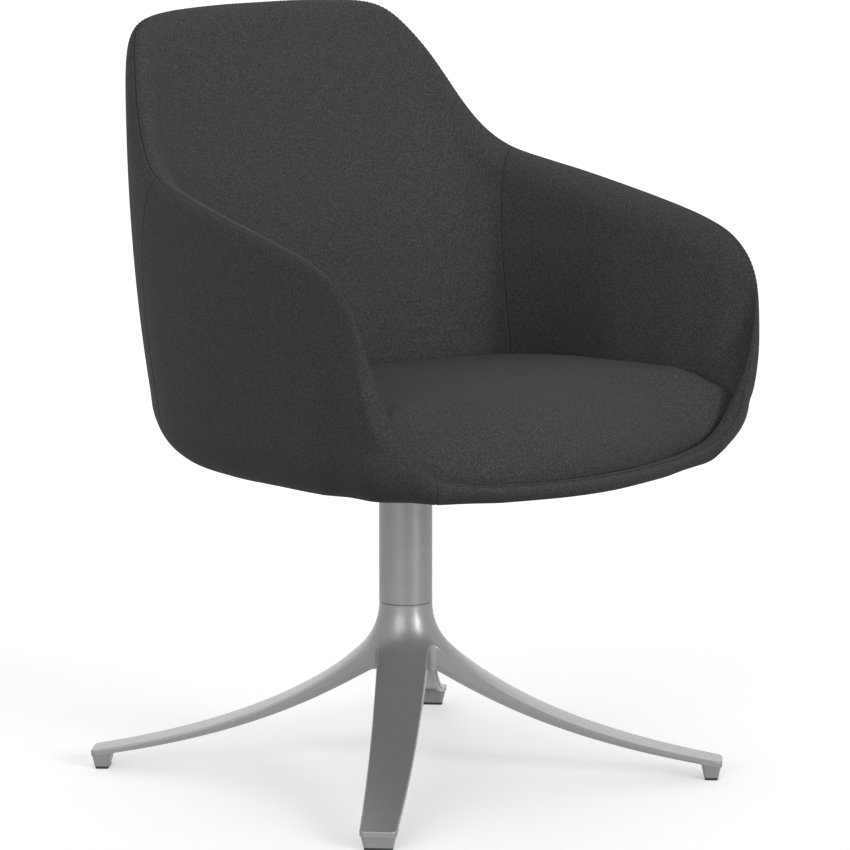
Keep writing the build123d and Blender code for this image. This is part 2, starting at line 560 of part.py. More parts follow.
def shell_section(name, hand):
    """Inner shell: floor, rounded corner and wall inside the padding."""
    plane, reach = tub_plane(name, hand)
    height, draw_in, foot = STATIONS[name][2:5]
    top = LIP_HEIGHT + height * (BACK_HEIGHT - LIP_HEIGHT) - SHELL_TOP_COVER
    waist = reach - draw_in
    corner = waist - foot
    bend = SHELL_FLOOR_BOTTOM + foot - SHELL_COVER
    far = waist - SHELL_COVER
    near = far - SHELL_THICKNESS
    lean = draw_in * (top - bend) / (top + SHELL_TOP_COVER - bend)
    wide = far - corner
    tight = near - corner
    turn = cos(radians(45))
    with BuildSketch(plane) as section:
        with BuildLine():
            Line((RING_RADIUS - 4, SHELL_FLOOR_BOTTOM), (corner, SHELL_FLOOR_BOTTOM))
            ThreePointArc((corner, SHELL_FLOOR_BOTTOM), (corner + wide * turn, bend - wide * turn), (far, bend))
            Line((far, bend), (far + lean, top))
            Line((far + lean, top), (near + lean, top))
            Line((near + lean, top), (near, bend))
            ThreePointArc((near, bend), (corner + tight * turn, bend - tight * turn), (corner, SHELL_FLOOR_TOP))
            Line((corner, SHELL_FLOOR_TOP), (RING_RADIUS - 4, SHELL_FLOOR_TOP))
            Line((RING_RADIUS - 4, SHELL_FLOOR_TOP), (RING_RADIUS - 4, SHELL_FLOOR_BOTTOM))
        make_face()
    return section.sketch


NAMES = list(STATIONS)
BACK_RUN = NAMES[: NAMES.index("arm_seam") + 1]
ARM_RUN = NAMES[NAMES.index("arm_seam") : NAMES.index("nose") + 1]
NOSE_RUN = NAMES[NAMES.index("nose") : NAMES.index("lip_seam") + 1]
LIP_RUN = NAMES[NAMES.index("lip_seam") :]
SHELL_RUN = NAMES[NAMES.index("arm_seam") : NAMES.index("arm_front") + 1]


def round_the_back(run, draw):
    """Sections from the right end of a run over its middle to the left end."""
    right = [draw(name, -1) for name in reversed(run[1:])]
    left = [draw(name, 1) for name in run]
    return right + left


# Moulded inner shell: a horseshoe wall and a floor
with BuildPart() as inner_shell:
    loft(sections=round_the_back(BACK_RUN, shell_section))
    loft(sections=[shell_section(name, 1) for name in SHELL_RUN])
    loft(sections=[shell_section(name, -1) for name in SHELL_RUN])
    with BuildSketch(Plane.XY.offset(SHELL_FLOOR_BOTTOM)):
        with Locations((0, TUB_AXIS_Y)):
            Circle(RING_RADIUS - SOFT_CLEARANCE)
    extrude(amount=SHELL_THICKNESS)
    with BuildSketch(Plane.XY.offset(SHELL_FLOOR_BOTTOM)):
        with Locations(*BOLT_SPOTS):
            Circle(TEE_BARREL_DIAMETER / 2 + HOLE_CLEARANCE)
    extrude(amount=SHELL_THICKNESS, mode=Mode.SUBTRACT)
    with BuildSketch(Plane.XY.offset(TEE_TOP - TEE_FLANGE_THICKNESS)):
        with Locations(*BOLT_SPOTS):
            Circle(TEE_FLANGE_DIAMETER / 2 + HOLE_CLEARANCE)
    extrude(amount=SHELL_THICKNESS, mode=Mode.SUBTRACT)

# Upholstery over the shell: back with wings, two arms and the front band
with BuildPart() as back_pad:
    loft(sections=round_the_back(BACK_RUN, pad_section))
    add(inner_shell.part, mode=Mode.SUBTRACT)

with BuildPart() as arm_pad_left:
    loft(sections=[pad_section(name, 1) for name in ARM_RUN])
    add(inner_shell.part, mode=Mode.SUBTRACT)
    loft(sections=[pad_section(name, 1) for name in NOSE_RUN])

with BuildPart() as arm_pad_right:
    loft(sections=[pad_section(name, -1) for name in ARM_RUN])
    add(inner_shell.part, mode=Mode.SUBTRACT)
    loft(sections=[pad_section(name, -1) for name in NOSE_RUN])

with BuildPart() as front_pad:
    loft(sections=round_the_back(LIP_RUN[::-1], pad_section))


def cushion_outline(level, draw_in, nose_in, tilt):
    """Plan of the cushion at one level: bowed front, straight sides, rounded rear corners."""
    side = CUSHION_SIDE - draw_in
    nose = CUSHION_NOSE_SIDE - nose_in
    nose_y = CUSHION_NOSE_Y + draw_in / 4
    front = CUSHION_FRONT_Y + draw_in / 3
    rear = CUSHION_REAR_Y - draw_in
    corner = CUSHION_REAR_CORNER
    bend = corner * (1 - cos(radians(45)))
    knee = ((side + nose) / 2 + CUSHION_KNEE, (CUSHION_SIDE_FRONT_Y + nose_y) / 2 - CUSHION_KNEE)
    with BuildSketch(Plane.XY.offset(level).rotated((tilt, 0, 0))) as outline:
        with BuildLine():
            ThreePointArc((-nose, nose_y), (0, front), (nose, nose_y))
            ThreePointArc((nose, nose_y), knee, (side, CUSHION_SIDE_FRONT_Y))
            Line((side, CUSHION_SIDE_FRONT_Y), (side, rear - corner))
            ThreePointArc((side, rear - corner), (side - bend, rear - bend), (side - corner, rear))
            Line((side - corner, rear), (corner - side, rear))
            ThreePointArc((corner - side, rear), (bend - side, rear - bend), (-side, rear - corner))
            Line((-side, rear - corner), (-side, CUSHION_SIDE_FRONT_Y))
            ThreePointArc((-side, CUSHION_SIDE_FRONT_Y), (-knee[0], knee[1]), (-nose, nose_y))
        make_face()
    return outline.sketch


# Loose seat cushion: a core behind the front band and a crowned pad above it
CUSHION_BASE = LIP_HEIGHT + CUSHION_LIFT
with BuildPart() as seat_cushion:
    with BuildSketch(Plane.XY.offset(SHELL_FLOOR_TOP + SOFT_CLEARANCE)):
        with Locations((0, (CUSHION_CORE_FRONT_Y + CUSHION_CORE_REAR_Y) / 2)):
            RectangleRounded(2 * CUSHION_CORE_HALF, CUSHION_CORE_REAR_Y - CUSHION_CORE_FRONT_Y,
                             CUSHION_REAR_CORNER)
    extrude(amount=CUSHION_BASE + 1 - SHELL_FLOOR_TOP)
    loft(sections=[
        cushion_outline(CUSHION_BASE, 30, 60, 0),
        cushion_outline(CUSHION_BASE + 0.15 * CUSHION_HEIGHT, 14, 26, 0),
        cushion_outline(CUSHION_BASE + 0.40 * CUSHION_HEIGHT, 1, 0, -CUSHION_TILT / 2),
    ], ruled=True)
    loft(sections=[
        cushion_outline(CUSHION_BASE + 0.40 * CUSHION_HEIGHT, 1, 0, -CUSHION_TILT / 2),
        cushion_outline(CUSHION_BASE + 0.72 * CUSHION_HEIGHT, 8, 12, -CUSHION_TILT),
        cushion_outline(CUSHION_BASE + 0.92 * CUSHION_HEIGHT, 32, 38, -CUSHION_TILT),
        cushion_outline(CUSHION_BASE + CUSHION_HEIGHT, 84, 90, -CUSHION_TILT),
    ])

# Export
BLOCKS = {
    "star_base": star_base,
    "glide_screws": glide_screws,
    "column_tube": column_tube,
    "column_plug": column_plug,
    "column_washer": column_washer,
    "column_bolt": column_bolt,
    "bearing_balls": bearing_balls,
    "ball_cage": ball_cage,
    "spindle": spindle,
    "retaining_ring": retaining_ring,
    "mounting_plate": mounting_plate,
    "plate_washers": plate_washers,
    "plate_bolts": plate_bolts,
    "tee_nuts": tee_nuts,
    "mounting_board": mounting_board,
    "inner_shell": inner_shell,
    "back_pad": back_pad,
    "arm_pad_left": arm_pad_left,
    "arm_pad_right": arm_pad_right,
    "front_pad": front_pad,
    "seat_cushion": seat_cushion,
}
for label, block in BLOCKS.items():
    block.part.label = label
    export_step(block.part, f"parts/{label}.step")
RINGS = {
    "lower_spacer": lower_spacer,
    "lower_bush": lower_bush,
    "upper_spacer": upper_spacer,
    "upper_bush": upper_bush,
    "bearing_lower_race": bearing_lower_race,
    "bearing_upper_race": bearing_upper_race,
    "retaining_washer": retaining_washer,
}
for label, ring in RINGS.items():
    ring.label = label
    export_step(ring, f"parts/{label}.step")
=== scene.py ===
# Looks of the swivel lounge chair: upholstered tub, cushion, stitching, materials, light and camera

import json
import math

import bpy
import numpy as np
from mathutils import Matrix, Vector, noise


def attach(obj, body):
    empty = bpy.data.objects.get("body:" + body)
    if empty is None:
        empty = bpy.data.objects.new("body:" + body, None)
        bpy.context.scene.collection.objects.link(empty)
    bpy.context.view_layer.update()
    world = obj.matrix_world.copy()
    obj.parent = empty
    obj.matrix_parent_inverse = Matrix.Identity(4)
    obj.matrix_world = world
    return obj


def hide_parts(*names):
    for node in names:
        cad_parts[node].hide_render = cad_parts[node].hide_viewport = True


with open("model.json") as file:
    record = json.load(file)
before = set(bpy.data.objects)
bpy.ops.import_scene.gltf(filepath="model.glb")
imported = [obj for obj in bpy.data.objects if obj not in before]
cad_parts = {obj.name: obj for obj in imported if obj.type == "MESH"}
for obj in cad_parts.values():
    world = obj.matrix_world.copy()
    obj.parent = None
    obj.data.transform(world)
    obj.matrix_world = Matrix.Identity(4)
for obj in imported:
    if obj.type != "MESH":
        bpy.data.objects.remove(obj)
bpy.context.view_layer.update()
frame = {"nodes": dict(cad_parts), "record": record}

MM = 0.001
AXIS = np.array((0.0, -20.0))

# Seam line along the rim in mm, from the back centre round the left arm to the front centre
RIM = [
    (0, 262, 857), (50, 261, 857), (100, 259, 855.5), (140, 256, 853),
    (168, 252.5, 847.5), (186, 247, 838), (198, 235, 823), (213, 214.5, 796),
    (226, 195, 765), (238, 172, 730.5), (248.5, 147, 704), (259.5, 113, 685),
    (271, 61, 673.5), (280, 8, 664), (287, -62, 651), (290.5, -125, 639),
    (292, -175, 628), (292.5, -213, 615.5), (291.5, -236, 601), (289.5, -253, 583.5),
    (286.5, -264.7, 558), (278.5, -272.5, 526), (263.5, -279.5, 479), (253, -283.5, 454.6),
    (239.5, -289, 428.6), (224, -293, 411), (203, -293.5, 398), (180, -294, 391.5),
    (150, -297.5, 386.5), (115, -303.5, 384), (75, -311, 383), (38, -317.5, 383),
    (0, -320, 383),
]

# Tub stations: angle from the back centre in degrees, stand-off of the outer face from the seam, draw-in of
# the wall, foot rounding, rim thickness, inner radius at seat level, rise of the underside
STATIONS = [
    (0.0, 10, 20, 74, 38, 138, 0),
    (21.6, 10, 20, 74, 40, 148, 0),
    (36.0, 10, 26, 70, 44, 163, 0),
    (45.6, 10, 25, 70, 46, 182, 0),
    (55.4, 9, 21, 64, 44, 211, 0),
    (62.9, 8, 17, 64, 42, 237, 0),
    (77.5, 6, 13, 68, 42, 236, 0),
    (101.0, 5, 11, 72, 44, 236, 3),
    (118.0, 4, 12, 64, 42, 274, 8),
    (126.5, 3, 20, 62, 34, 314, 11),
    (130.5, 4, 16, 63, 32, 336, 11.5),
    (134.2, 3, 4, 63, 32, 336, 11.5),
    (138.0, 3, 0, 56, 32, 332, 11.5),
    (141.0, 2.5, 0, 40, 31, 327, 11),
    (143.2, 2.5, 0, 28, 30, 321, 10),
    (150.0, 4, 0, 21, 28.5, 303, 8),
    (157.9, 5, 0, 16, 27, 285, 6),
    (180.0, 5, 0, 13, 26, 279, 5),
]

# Tub: angles of its seams in degrees, then levels, rolls, crowns and foot of its walls in mm
ARM_SEAM = 62.9
LIP_SEAM = 143.2
TUB_BOTTOM = 358.0
RING_RADIUS = 86.5
FLOOR_LEVEL = 374.5
SEAT_LEVEL = 440.0
OUTER_ROLL = 14.0
INNER_ROLL = 34.0
WALL_BULGE = 6.0
PAD_CROWN = 7.0
FULL_CROWN_HEIGHT = 220.0
PAD_FOOT_DROP = 8.0
PAD_TOE = 14.0
TOE_CLEARANCE = 2.0
BED_RUN = np.array((-30.0, -0.5))

# Rim roll: largest share of the wall's height outside and inside, reach of its shoulder as a share of the
# rim's width, how much sharper a steep nose is, pull of the lower end, rim heights where the nose begins,
# least flatness that still lengthens the roll
OUTER_ROLL_SHARE = 0.8
INNER_ROLL_SHARE = 0.75
SHOULDER = 0.55
NOSE_SHARPENING = 0.5
ROLL_TENSION = 0.5
NOSE_HEIGHTS = (600.0, 680.0)
LEAST_FLAT = 0.3

# Smoothing and points of the rim line, of the section lines and of the skins, in mm, rounds and counts
RIM_SMOOTHING = 10.0
RIM_WINDOW = 30
SECTION_STEP = 1.5
SECTION_ROUNDS = 16
QUARTER_POINTS = 24
STRETCH_POINTS = 40
SKIN_STEP = 3.0
SKIN_POINTS = 480

# Mesh of the tub: fine spacing next to a seam in mm, step of its columns, rows outside and inside
NEAR_SEAM = [0.0, 0.35, 0.75, 1.2, 1.8, 2.5, 3.3, 4.2, 5.4, 7.0, 9.0, 11.5, 14.5, 18.0]
COLUMN_STEP = 4.5
OUTER_ROWS = 70
INNER_ROWS = 52

# Seams: groove, puffed cloth beside it, share of it at the side seams; the felt is also painted darker along
# the groove as seam shade
SEAM_DEPTH = 1.4
SEAM_WIDTH = 1.2
SEAM_PUFF = 0.7
PUFF_START = 2.5
PUFF_REACH = 20.0
SIDE_SEAM_SHARE = 0.45

# Drift of the side seams on their way down, back on the outside and forward on the inside
OUTER_SEAM_DRIFT = 45.0
DRIFT_START = 10.0
DRIFT_LENGTH = 80.0
INNER_SEAM_DRIFT = 26.0
INNER_DRIFT_DEPTHS = (60.0, 270.0)
DRIFT_SPREAD = 220.0
DRIFT_FREE = 160.0

# Slight unevenness of stretched cloth, none next to the rim seam
UNEVEN_DEPTH = 0.5
UNEVEN_SIZE = 130.0
UNEVEN_CLEAR = 25.0

# Cushion: place, heights, gap to the walls, setback from the band, lean and undercut of its sides
CUSHION_CENTRE = np.array((0.0, -100.0))
CUSHION_TOP = 468.0
CUSHION_BOTTOM = 381.5
CUSHION_GAP = 0.4
LIP_SETBACK = 1.5
CUSHION_TAPER = 0.65
CUSHION_UNDERCUT = 1.0

# Cushion top: droop to the rear, from a line to a length behind it, and droop to the sides
REAR_DROOP = 19.0
REAR_DROOP_FROM = -150.0
REAR_DROOP_LENGTH = 265.0
REAR_DROOP_MOST = 1.2
SIDE_DROOP = 6.0
SIDE_DROOP_WIDTH = 235.0

# Cushion edge: small roll along the walls, wide roll over the front, turns between which it grows, height
# of the front edge over the bottom, where the wall is probed, rounds that smooth the plan line
EDGE_WIDTH = 16.0
EDGE_DROP = 4.0
FRONT_WIDTH = 150.0
FRONT_TURNS = (123.0, 146.5)
FRONT_EDGE_HEIGHT = 1.2
EDGE_PROBE = 0.93
EDGE_BELOW_CREST = 1.5
PLAN_ROUNDS = 14

# Cushion mesh and the unevenness of its top
CUSHION_POINTS = 280
CUSHION_ROWS = 64
SKIRT_ROWS = 7
BOTTOM_ROWS = 14
CUSHION_UNEVEN_DEPTH = 0.7
CUSHION_UNEVEN_SIZE = 90.0
CUSHION_SEED = 5.0

# Stitching along the rim
STITCH_PITCH = 5.4
STITCH_LENGTH = 3.3
STITCH_WIDTH = 1.7
STITCH_HEIGHT = 1.6
STITCH_OFFSET = 3.8
STITCH_LIFT = 0.12
STITCH_BLUNTNESS = 0.04
STITCH_ROW_WIDTH = 0.9
STITCH_ROW_DEPTH = 0.5

# Studio: colour that the floor throws back, glow of the floor to the camera, light of the world
FLOOR_BOUNCE = (0.14, 0.14, 0.14)
FLOOR_GLOW = 0.32
FLOOR_SIZE = 80.0
WORLD_LIGHT = 0.58
WORLD_SHOWN = 1.0

# Camera at the photograph's angle, in m and mm of lens
CAMERA_AZIMUTH = math.radians(-40.219)
CAMERA_ELEVATION = math.radians(9.221)
CAMERA_DISTANCE = 5.147
CAMERA_TARGET = Vector((0, 0, 0.42))
AIM_RIGHT = 0.0217
AIM_UP = -0.0214
SENSOR_WIDTH = 36.0
LENS = 194.76


def monotone(xs, ys, at):
    """Smooth curve through points that never overshoots them."""
    xs, ys = np.asarray(xs, float), np.asarray(ys, float)
    step = np.diff(xs)
    slope = np.diff(ys) / step
    tangent = np.zeros_like(ys)
    for i in range(1, len(xs) - 1):
        if slope[i - 1] * slope[i] > 0:
            first = 2 * step[i] + step[i - 1]
            second = step[i] + 2 * step[i - 1]
            tangent[i] = (first + second) / (first / slope[i - 1] + second / slope[i])
    place = np.clip(np.searchsorted(xs, at) - 1, 0, len(step) - 1)
    t = (at - xs[place]) / step[place]
    h = step[place]
    return (
        (2 * t**3 - 3 * t**2 + 1) * ys[place]
        + (t**3 - 2 * t**2 + t) * h * tangent[place]
        + (-2 * t**3 + 3 * t**2) * ys[place + 1]
        + (t**3 - t**2) * h * tangent[place + 1]
    )


def smoothstep(low, high, value):
    """Soft step from 0 at low to 1 at high."""
    t = np.clip((value - low) / (high - low), 0, 1)
    return t * t * (3 - 2 * t)


def run_lengths(points):
    """Length along a polyline at each of its points."""
    return np.concatenate([[0], np.cumsum(np.linalg.norm(np.diff(points, axis=0), axis=1))])


def at_lengths(spots, lengths, points):
    """Points of a polyline at lengths along it."""
    return np.stack([np.interp(spots, lengths, column) for column in points.T], axis=-1)


def rim_loop():
    """Closed rim line at about 1 mm steps, smoothed, with its length at each point."""
    half = np.array(RIM, float)
    other = half[-2:0:-1] * (-1, 1, 1)
    points = np.vstack([half, other])
    count = len(points)
    dense = []
    for i in range(count):
        a, b, c, d = (points[(i + k) % count] for k in (-1, 0, 1, 2))
        steps = max(2, int(np.linalg.norm(c - b)))
        t = np.arange(steps)[:, None] / steps
        dense.append(0.5 * (2 * b + (c - a) * t + (2 * a - 5 * b + 4 * c - d) * t**2
                            + (3 * b - a - 3 * c + d) * t**3))
    dense = np.vstack(dense)
    reach = np.arange(-RIM_WINDOW, RIM_WINDOW + 1)
    weight = np.exp(-0.5 * (reach / RIM_SMOOTHING) ** 2)
    weight /= weight.sum()
    smooth = sum(w * np.roll(dense, -k, axis=0) for k, w in zip(reach, weight))
    closed = np.vstack([smooth, smooth[:1]])
    return closed, run_lengths(closed)


LOOP, LOOP_LENGTH = rim_loop()
TOTAL = LOOP_LENGTH[-1]


def rim_at(s):
    """Points of the rim line at lengths along it."""
    return at_lengths(np.mod(s, TOTAL), LOOP_LENGTH, LOOP)


def turn_of(points):
    """Angle from the back centre in degrees, 0 to 180 on either side."""
    return np.degrees(np.arctan2(np.abs(points[..., 0]), points[..., 1] - AXIS[1]))


def length_at_turn(angle):
    """Length along the rim of a turn on the left half."""
    half = LOOP_LENGTH <= TOTAL / 2
    return float(np.interp(angle, turn_of(LOOP[half]), LOOP_LENGTH[half]))


ARM_SEAM_AT = length_at_turn(ARM_SEAM)
LIP_SEAM_AT = length_at_turn(LIP_SEAM)
STATION_AT = [length_at_turn(row[0]) for row in STATIONS]


def station_values(s):
    """Section sizes at lengths along the rim."""
    s = np.mod(s, TOTAL)
    near = np.minimum(s, TOTAL - s)
    return [monotone(STATION_AT, [row[k] for row in STATIONS], near) for k in range(1, 7)]


def soften(line, rounds):
    """Irons out the joins of a polyline, its ends kept."""
    for _ in range(rounds):
        line[1:-1] = 0.25 * line[:-2] + 0.5 * line[1:-1] + 0.25 * line[2:]
    return line


def even_line(points, step):
    """Polyline through the same path with points about a step apart."""
    lengths = run_lengths(points)
    spots = np.linspace(0, lengths[-1], max(8, int(lengths[-1] / step)))
    return at_lengths(spots, lengths, points)


def bezier(a, b, c, d, t):
    """Points of a cubic curve."""
    return (1 - t) ** 3 * a + 3 * t * (1 - t) ** 2 * b + 3 * t**2 * (1 - t) * c + t**3 * d


def section_lines(reach, top, flat, values):
    """Outer and inner half of the wall's section in its upright plane, both from the crest."""
    stand_off, draw_in, foot, thick, inner, rise = values
    under = TUB_BOTTOM + rise
    waist = reach + stand_off - draw_in
    quarter = np.linspace(0, math.pi / 2, QUARTER_POINTS)[:, None]
    share = np.linspace(0, 1, STRETCH_POINTS)[1:, None]

    drop = min((OUTER_ROLL + stand_off) / flat, OUTER_ROLL_SHARE * (top - under - foot))
    roll = np.hstack([reach + stand_off * np.sin(quarter), top - drop * (1 - np.cos(quarter))])
    high, low = roll[-1], np.array((waist, under + foot))
    bulge = WALL_BULGE * min(1.0, max(0.0, high[1] - low[1]) / FULL_CROWN_HEIGHT)
    wall = high + (low - high) * share + np.hstack([4 * bulge * share * (1 - share), 0 * share])
    bend = np.hstack([waist - foot * (1 - np.cos(quarter)), under + foot * (1 - np.sin(quarter))])[1:]
    floor = bend[-1] + (np.array((RING_RADIUS, TUB_BOTTOM)) - bend[-1]) * share
    outer = soften(even_line(np.vstack([roll, wall, bend, floor]), SECTION_STEP), SECTION_ROUNDS)

    fall = min(INNER_ROLL / flat, INNER_ROLL_SHARE * (top - FLOOR_LEVEL))
    width = thick - stand_off
    crest = np.array((reach, top))
    high = np.array((reach - width, top - fall))
    low = np.array((inner, np.clip(top - fall - PAD_FOOT_DROP, FLOOR_LEVEL, SEAT_LEVEL)))
    lean = (high - low) / max(np.linalg.norm(high - low), 1e-6)
    steep = (1 - flat) * (1 - smoothstep(*NOSE_HEIGHTS, top))
    shoulder = width * (SHOULDER - NOSE_SHARPENING * steep)
    roll = bezier(crest, crest - (shoulder, 0), high + ROLL_TENSION * fall * lean, high, share)
    crown = PAD_CROWN * min(1.0, max(0.0, high[1] - low[1]) / FULL_CROWN_HEIGHT)
    wall = high + (low - high) * share - np.hstack([4 * crown * share * (1 - share), 0 * share])
    toe_reach = min(inner - PAD_TOE, waist - foot - TOE_CLEARANCE)
    toe = low + (np.array((toe_reach, FLOOR_LEVEL)) - low) * share
    bed = toe[-1] + BED_RUN * share
    inside = np.vstack([crest[None, :], roll, wall, toe, bed])
    return outer, soften(even_line(inside, SECTION_STEP), SECTION_ROUNDS)


def spread(start, end):
    """Column places along the rim, fine next to both ends."""
    length = end - start
    near = np.array(NEAR_SEAM)
    count = int((length - 2 * near[-1]) / COLUMN_STEP)
    middle = np.linspace(near[-1], length - near[-1], count)[1:-1]
    return start + np.concatenate([near, middle, length - near[::-1]])


def reference_skin():
    """Outer and inner skin all round the tub at even steps: points, and section lengths for each column."""
    places = np.arange(0, TOTAL, SKIN_STEP)
    crest = rim_at(places)
    ahead = rim_at(places + 1.0) - rim_at(places - 1.0)
    flat = np.clip(np.hypot(ahead[:, 0], ahead[:, 1]) / np.linalg.norm(ahead, axis=1), LEAST_FLAT, 1)
    values = np.stack(station_values(places), axis=-1)
    outward = crest[:, :2] - AXIS
    reach = np.linalg.norm(outward, axis=1)
    outward /= reach[:, None]
    skins = ([], [])
    lengths = ([], [])
    steps = np.linspace(0, 1, SKIN_POINTS)
    for k in range(len(places)):
        for side, line in enumerate(section_lines(reach[k], crest[k, 2], flat[k], values[k])):
            along = run_lengths(line)
            points = at_lengths(steps * along[-1], along, line)
            lengths[side].append(along[-1])
            skins[side].append(np.column_stack([AXIS + outward[k] * points[:, :1], points[:, 1]]))
    return [np.array(s) for s in skins], [np.array(s) for s in lengths]


SKINS, SKIN_LENGTHS = reference_skin()


def skin_points(side, s, depth):
    """Points of one skin at lengths along the rim and distances from the crest."""
    count, steps = SKINS[side].shape[:2]
    column = np.mod(s, TOTAL) / TOTAL * count
    first = np.floor(column).astype(int) % count
    second = (first + 1) % count
    blend = (column - np.floor(column))[..., None]
    length = (1 - blend[..., 0]) * SKIN_LENGTHS[side][first] + blend[..., 0] * SKIN_LENGTHS[side][second]
    row = np.clip(depth / length, 0, 1) * (steps - 1)
    low = np.minimum(np.floor(row).astype(int), steps - 2)
    part = (row - low)[..., None]
    near = (1 - part) * SKINS[side][first, low] + part * SKINS[side][first, low + 1]
    far = (1 - part) * SKINS[side][second, low] + part * SKINS[side][second, low + 1]
    return (1 - blend) * near + blend * far


def drifted(side, s, depth):
    """Length along the rim, moved so that the side seams drift back outside and forward inside."""
    turned = np.mod(s, TOTAL)
    hand = np.where(turned > TOTAL / 2, -1, 1)
    near = np.minimum(turned, TOTAL - turned)
    weight = np.exp(-(((near - ARM_SEAM_AT) / DRIFT_SPREAD) ** 2)) * smoothstep(0, DRIFT_FREE, near)
    if side == 0:
        drift = -OUTER_SEAM_DRIFT * (1 - np.exp(-np.maximum(0, depth - DRIFT_START) / DRIFT_LENGTH))
    else:
        drift = INNER_SEAM_DRIFT * smoothstep(*INNER_DRIFT_DEPTHS, depth)
    return s + hand * weight * drift


def tub_grid(start, end):
    """Grid of points round a stretch of the tub, with distances to the end seams and to the crest."""
    places = spread(start, end)
    near = np.array(NEAR_SEAM)
    halves, depths = [], []
    for side, rows in ((0, OUTER_ROWS), (1, INNER_ROWS)):
        at = np.mod(places, TOTAL) / TOTAL * len(SKIN_LENGTHS[side])
        length = np.interp(at, np.arange(len(SKIN_LENGTHS[side])), SKIN_LENGTHS[side])
        even = np.linspace(0, 1, rows + 1)[1:]
        depth = np.hstack([np.tile(near, (len(places), 1)), near[-1] + even * (length[:, None] - near[-1])])
        s = drifted(side, places[:, None] + 0 * depth, depth)
        halves.append(skin_points(side, s, depth))
        depths.append(depth)
    grid = np.concatenate([halves[0][:, ::-1], halves[1][:, 1:]], axis=1)
    to_crest = np.concatenate([-depths[0][:, ::-1], depths[1][:, 1:]], axis=1)
    to_seam = np.minimum(places - start, end - places)
    return grid, to_seam, to_crest


def grid_normals(grid):
    """Unit normal at each point of a grid."""
    along = np.gradient(grid, axis=0)
    across = np.gradient(grid, axis=1)
    normal = np.cross(along, across)
    return normal / np.maximum(np.linalg.norm(normal, axis=2, keepdims=True), 1e-9)


def uneven(points, size, seed):
    """Slow smooth unevenness between -1 and 1 for each point."""
    flat = points.reshape(-1, 3) / size + seed
    return np.array([noise.noise(Vector(p)) for p in flat]).reshape(points.shape[:-1])


def dress_grid(grid, to_seam, to_crest, seed):
    """Presses the seams into the grid and adds the slight unevenness of stretched cloth."""
    normal = grid_normals(grid)
    outside = (normal[:, 2] * (grid[:, 2] - grid[:, -1])).sum()
    if outside < 0:
        normal = -normal
    # The seam mark sets both the groove depth and the painted seam shade of the felt
    end = SIDE_SEAM_SHARE * np.exp(-((to_seam / SEAM_WIDTH) ** 2))[:, None] + 0 * to_crest
    crest = np.exp(-((to_crest / SEAM_WIDTH) ** 2))
    seam = np.maximum(end, crest)
    row = np.exp(-(((np.abs(to_crest) - STITCH_OFFSET) / STITCH_ROW_WIDTH) ** 2))
    away = 1 - np.exp(-((to_crest / UNEVEN_CLEAR) ** 2))
    puff = (1 - np.exp(-((to_crest / PUFF_START) ** 2))) * np.exp(-((to_crest / PUFF_REACH) ** 2))
    push = -SEAM_DEPTH * seam + SEAM_PUFF * puff - STITCH_ROW_DEPTH * row
    push = push + UNEVEN_DEPTH * uneven(grid, UNEVEN_SIZE, seed) * away
    return grid + normal * push[:, :, None], seam, normal


def make_object(name, points, faces, seam_shade_mark=None):
    """Smooth mesh object from points in mm, with how deep in a seam each point lies."""
    mesh = bpy.data.meshes.new(name)
    mesh.from_pydata((points * MM).tolist(), [], faces)
    if seam_shade_mark is not None:
        # Painted seam shade: the felt darkens each point by this mark
        layer = mesh.attributes.new("seam", "FLOAT", "POINT")
        layer.data.foreach_set("value", np.asarray(seam_shade_mark, dtype=np.float32))
    mesh.validate()
    mesh.shade_smooth()
    obj = bpy.data.objects.new(name, mesh)
    bpy.context.scene.collection.objects.link(obj)
    return obj


def end_cap(rows, first):
    """Faces across one end of a strip, as rungs from the outer skin to the inner skin."""
    crest = len(NEAR_SEAM) + OUTER_ROWS - 1
    inner = rows - 1 - crest
    faces = [(crest, crest - 1, crest + 1)]
    for k in range(1, inner):
        faces.append((crest - k, crest - k - 1, crest + k + 1, crest + k))
    for row in range(crest - inner, 0, -1):
        faces.append((row, row - 1, rows - 1))
    return [tuple(first + row for row in face) for face in faces]


def closed_strip(name, grid, seam_shade_mark):
    """Closed body from a grid whose rows run round the section; both ends are capped."""
    columns, rows = grid.shape[:2]
    faces = []
    for i in range(columns - 1):
        for j in range(rows):
            k = (j + 1) % rows
            faces.append((i * rows + j, (i + 1) * rows + j, (i + 1) * rows + k, i * rows + k))
    faces += [face[::-1] for face in end_cap(rows, 0)]
    faces += end_cap(rows, (columns - 1) * rows)
    return make_object(name, grid.reshape(-1, 3), faces, seam_shade_mark.reshape(-1))


# Tub pieces: the node each one replaces, its stretch of the rim and the seed of its unevenness
TUB_PIECES = {
    "tub_back": ("back_pad", -ARM_SEAM_AT, ARM_SEAM_AT, 3.0),
    "tub_arm_left": ("arm_pad_left", ARM_SEAM_AT, LIP_SEAM_AT, 7.0),
    "tub_band": ("front_pad", LIP_SEAM_AT, TOTAL - LIP_SEAM_AT, 11.0),
    "tub_arm_right": ("arm_pad_right", TOTAL - LIP_SEAM_AT, TOTAL - ARM_SEAM_AT, 7.0),
}
tub_grids = {}
soft_pieces = []
for piece_name, (node, start, end, seed) in TUB_PIECES.items():
    grid, to_seam, to_crest = tub_grid(start, end)
    dressed, seam_shade_mark, normal = dress_grid(grid, to_seam, to_crest, seed)
    tub_grids[piece_name] = (dressed, normal, to_crest)
    piece = closed_strip(piece_name, dressed, seam_shade_mark)
    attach(piece, "seat")
    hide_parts(node)
    soft_pieces.append(piece)


